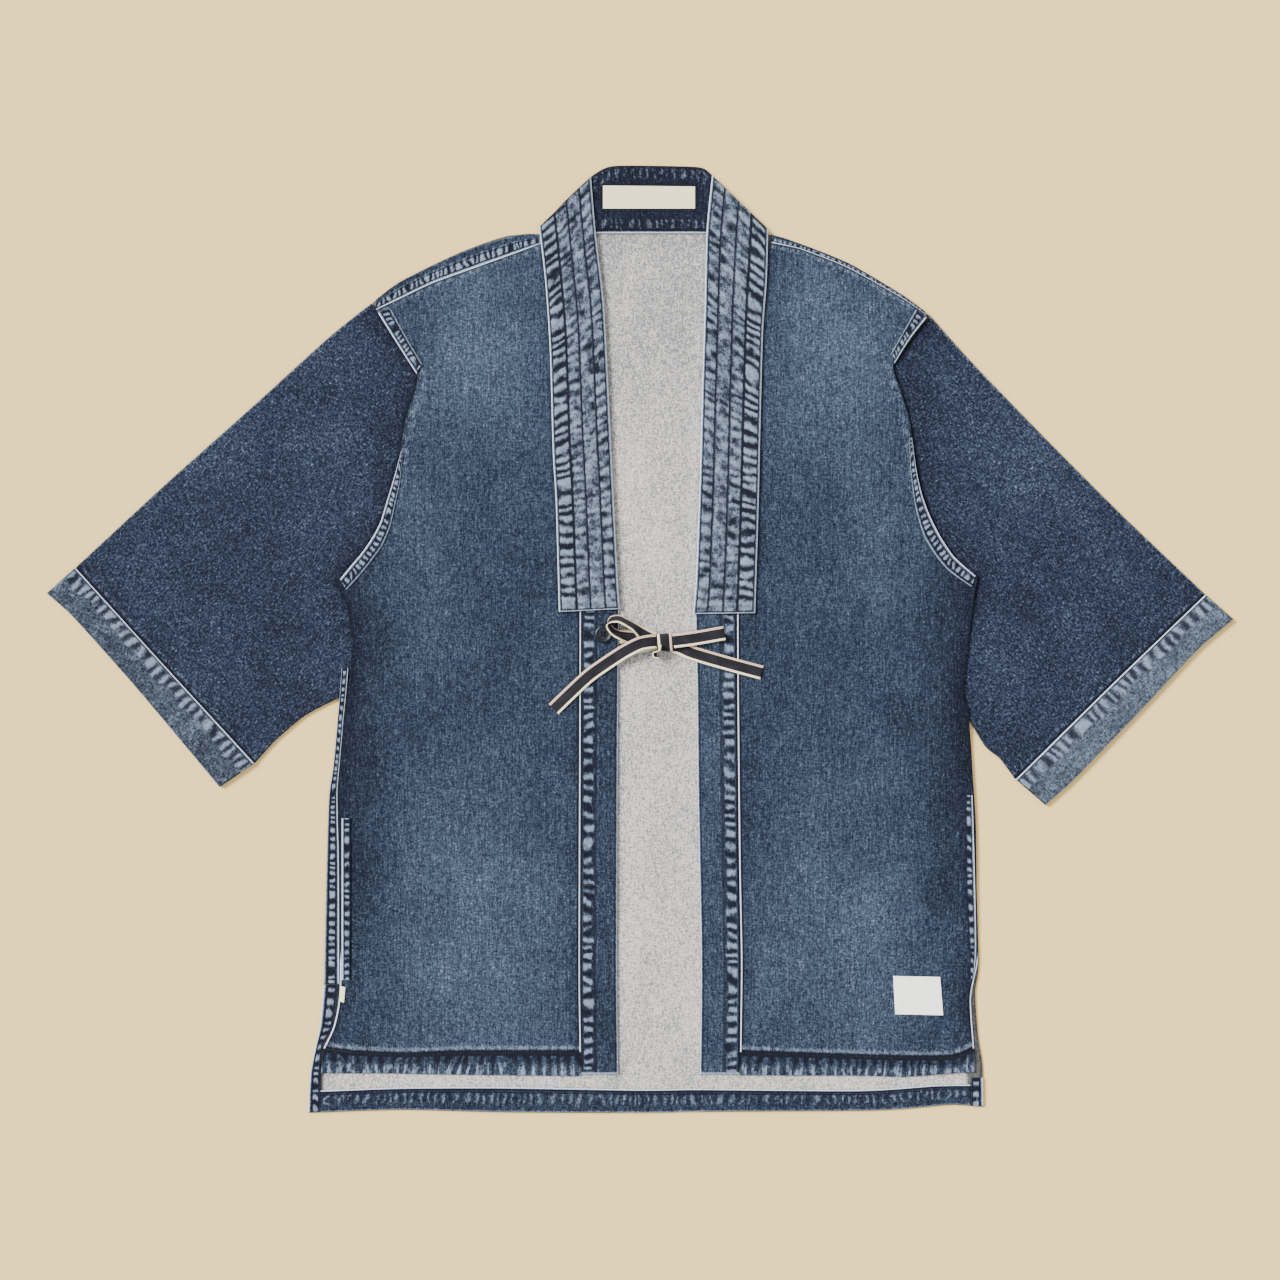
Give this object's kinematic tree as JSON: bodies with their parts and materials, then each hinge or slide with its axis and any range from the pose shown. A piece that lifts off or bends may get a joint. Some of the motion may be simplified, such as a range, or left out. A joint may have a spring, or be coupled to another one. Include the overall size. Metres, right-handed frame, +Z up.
{
  "type": "kimono jacket",
  "caption": "Denim kimono jacket laid flat, front up, with wide half sleeves, a quilted band collar, turned front edges, side vents and a tape bow at the waist.",
  "frame": {"origin": "the middle of the garment's box on the surface that it lies on", "axes": "+X from the wearer's right sleeve to the left, +Y from the hem to the collar, +Z up from the surface; the jacket lies on its back, front up"},
  "size_m": [1.0082, 0.8053, 0.016],
  "materials": {
    "denim_face": "washed indigo twill, warp streaks",
    "denim_sleeve": "washed indigo twill, darker",
    "denim_washed": "abraded indigo twill at the seams",
    "denim_reverse": "pale grey reverse of the denim",
    "tape": "woven cotton tape, navy with cream edges",
    "label_cloth": "cream woven label",
    "button_resin": "dark navy resin"
  },
  "bodies": {
    "root": {"back_panel": "denim_reverse", "front_right": "denim_face", "front_left": "denim_face", "sleeve_right": "denim_sleeve", "sleeve_left": "denim_sleeve", "cuff_right": "denim_washed", "cuff_left": "denim_washed", "collar_right": "denim_washed", "collar_left": "denim_washed", "collar_back": "denim_face", "facing_right": "denim_washed", "facing_left": "denim_washed", "front_hem_right": "denim_washed", "front_hem_left": "denim_washed", "back_hem": "denim_face", "vent_facing_right": "denim_face", "vent_facing_left": "denim_face", "shoulder_seam_right": "denim_washed", "shoulder_seam_left": "denim_washed", "armhole_seam_right_upper": "denim_washed", "armhole_seam_right_lower": "denim_washed", "armhole_seam_left_upper": "denim_washed", "armhole_seam_left_lower": "denim_washed", "side_seam_right": "denim_washed", "pocket_welt_right": "denim_washed", "pocket_welt_left": "denim_washed", "neck_label": "label_cloth", "hem_label": "label_cloth", "side_tab": "label_cloth", "button": "button_resin", "tie_knot": "tape", "tie_loop_right": "tape", "tie_loop_left": "tape", "tie_tail_right": "tape", "tie_tail_left": "tape", "tie_root_right": "tape", "tie_root_left": "tape"}
  },
  "joints": []
}
